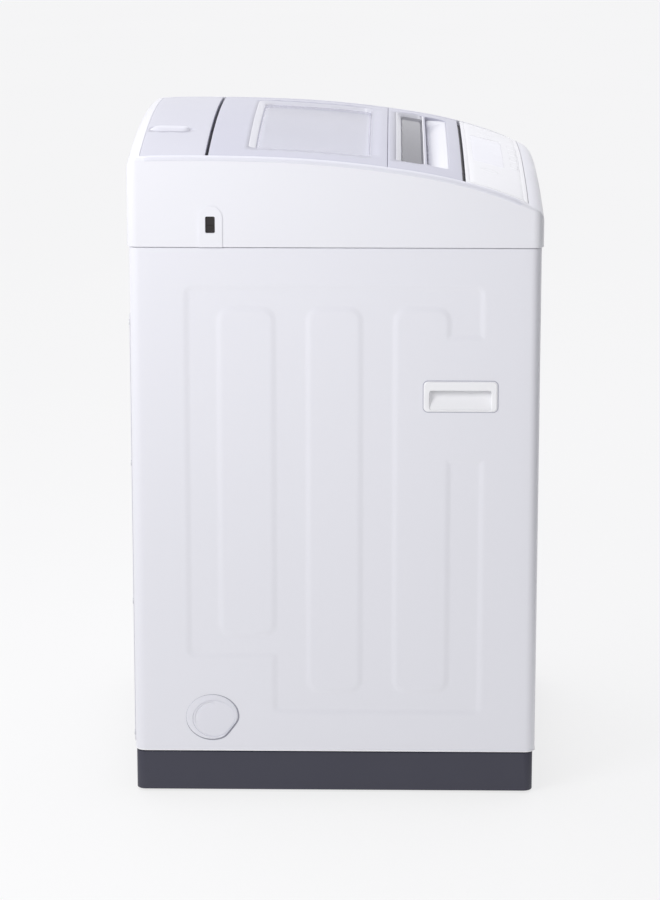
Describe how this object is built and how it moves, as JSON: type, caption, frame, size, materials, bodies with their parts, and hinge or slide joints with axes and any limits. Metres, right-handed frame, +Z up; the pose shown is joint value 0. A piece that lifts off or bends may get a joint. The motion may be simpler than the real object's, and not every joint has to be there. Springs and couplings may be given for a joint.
{
  "type": "top load washing machine",
  "caption": "Free-standing top load washing machine with a folding two-leaf lid, sunk control panel, carry handles, hung tub, basket, wash plate and belt drive.",
  "frame": {"origin": "centre of the footprint, on the floor under the feet", "axes": "+X to the right when facing the front, -Y is the front with the control panel, +Z up"},
  "size_m": [0.5274, 0.54, 0.878],
  "materials": {
    "grey_base": "fine grained moulding",
    "rubber": "matt",
    "zinc": "zinc plated",
    "cabinet_paint": "smooth gloss paint",
    "rear_paint": "smooth paint",
    "white_plastic": "satin gloss",
    "cap_plastic": "satin gloss",
    "cover_plastic": "satin gloss",
    "deck_plastic": "satin gloss",
    "fascia_plastic": "gloss",
    "display_tint": "tinted gloss film",
    "key_plastic": "satin",
    "board": "circuit board",
    "inner_plastic": "matt",
    "lid_plastic": "gloss",
    "clear_window": "clear polymer",
    "smoke_window": "smoked polymer",
    "black_plastic": "matt",
    "valve_plastic": "matt",
    "tub_plastic": "moulded",
    "stainless": "bright drawn",
    "ring_plastic": "satin",
    "cast_alloy": "as cast",
    "steel_shaft": "ground",
    "filter_plastic": "satin",
    "plate_plastic": "satin",
    "motor_paint": "painted casting",
    "belt_rubber": "matt"
  },
  "bodies": {
    "cabinet": {"base_frame": "grey_base", "foot_pads": "rubber", "foot_studs": "zinc", "cabinet": "cabinet_paint", "rear_panel": "rear_paint", "rear_screws": "zinc", "carry_handle_left": "white_plastic", "carry_handle_right": "white_plastic", "drain_cap": "cap_plastic", "top_frame": "cover_plastic", "rear_deck": "deck_plastic", "deck_screws": "zinc", "control_fascia": "fascia_plastic", "display_lens": "display_tint", "control_board": "board", "board_tray": "inner_plastic", "lid_hinge_pins": "zinc", "side_clips": "black_plastic", "inlet_valve": "valve_plastic", "water_box": "inner_plastic", "lid_switch": "black_plastic", "drain_outlet": "black_plastic", "cord_gland": "black_plastic", "corner_brackets": "zinc", "rod_seats": "inner_plastic", "suspension_rods": "zinc", "spring_cups": "inner_plastic", "suspension_springs": "zinc"},
    "lid_rear": {"lid_rear_panel": "lid_plastic", "lid_window": "clear_window", "fold_pins": "zinc"},
    "lid_front": {"lid_front_panel": "lid_plastic", "lid_front_window": "smoke_window"},
    "tub": {"outer_tub": "tub_plastic", "tub_ring": "tub_plastic", "tub_seal": "rubber", "gearcase": "cast_alloy", "motor_bracket": "zinc", "motor": "motor_paint", "drive_belt": "belt_rubber", "drain_valve": "valve_plastic"},
    "basket": {"basket": "stainless", "balance_ring": "ring_plastic", "basket_hub": "cast_alloy", "spin_shaft": "steel_shaft", "lint_filters": "filter_plastic"},
    "wash_plate": {"wash_plate": "plate_plastic", "wash_plate_cap": "plate_plastic", "wash_shaft": "steel_shaft"},
    "drive_pulley": {"drive_pulley": "cast_alloy", "input_shaft": "steel_shaft"},
    "motor_rotor": {"motor_pulley": "cast_alloy", "motor_shaft": "steel_shaft"},
    "key_power": {"key_power": "key_plastic"},
    "key_start": {"key_start": "key_plastic"},
    "key_program": {"key_program": "key_plastic"},
    "key_water_level": {"key_water_level": "key_plastic"},
    "key_process": {"key_process": "key_plastic"},
    "key_delay": {"key_delay": "key_plastic"}
  },
  "joints": [
    {"name": "lid_open", "type": "hinge", "parent": "cabinet", "child": "lid_rear", "pos_m": [0, 0.14, 0.8605], "axis": [-1, 0, 0], "range_deg": [0, 82]},
    {"name": "lid_fold", "type": "hinge", "parent": "lid_rear", "child": "lid_front", "pos_m": [0, -0.067, 0.836], "axis": [1, 0, 0], "range_deg": [0, 150]},
    {"name": "tub_bounce", "type": "slide", "parent": "cabinet", "child": "tub", "axis": [0, 0, 1], "range_m": [-0.012, 0.006], "stiffness_N_per_m": 14000, "springref_m": 0.01393, "deforming": ["suspension_springs"]},
    {"name": "basket_spin", "type": "hinge", "parent": "tub", "child": "basket", "pos_m": [0, 0, 0.25], "axis": [0, 0, 1], "continuous": true},
    {"name": "wash_plate_spin", "type": "hinge", "parent": "tub", "child": "wash_plate", "pos_m": [0, 0, 0.27], "axis": [0, 0, 1], "continuous": true},
    {"name": "pulley_spin", "type": "hinge", "parent": "tub", "child": "drive_pulley", "pos_m": [0, 0, 0.112], "axis": [0, 0, 1], "continuous": true},
    {"name": "motor_spin", "type": "hinge", "parent": "tub", "child": "motor_rotor", "pos_m": [0, 0.15, 0.112], "axis": [0, 0, 1], "continuous": true},
    {"name": "key_power_press", "type": "slide", "parent": "cabinet", "child": "key_power", "axis": [0, 0, -1], "range_m": [0, 0.0012], "stiffness_N_per_m": 800, "springref_m": -0.0006},
    {"name": "key_start_press", "type": "slide", "parent": "cabinet", "child": "key_start", "axis": [0, 0, -1], "range_m": [0, 0.0012], "stiffness_N_per_m": 800, "springref_m": -0.0006},
    {"name": "key_program_press", "type": "slide", "parent": "cabinet", "child": "key_program", "axis": [0, 0, -1], "range_m": [0, 0.0012], "stiffness_N_per_m": 800, "springref_m": -0.0006},
    {"name": "key_water_level_press", "type": "slide", "parent": "cabinet", "child": "key_water_level", "axis": [0, 0, -1], "range_m": [0, 0.0012], "stiffness_N_per_m": 800, "springref_m": -0.0006},
    {"name": "key_process_press", "type": "slide", "parent": "cabinet", "child": "key_process", "axis": [0, 0, -1], "range_m": [0, 0.0012], "stiffness_N_per_m": 800, "springref_m": -0.0006},
    {"name": "key_delay_press", "type": "slide", "parent": "cabinet", "child": "key_delay", "axis": [0, 0, -1], "range_m": [0, 0.0012], "stiffness_N_per_m": 800, "springref_m": -0.0006}
  ],
  "couplings": [
    {"joint": "lid_fold", "follows": "lid_open", "ratio": 1.8},
    {"joint": "motor_spin", "follows": "pulley_spin", "ratio": 3.2}
  ]
}
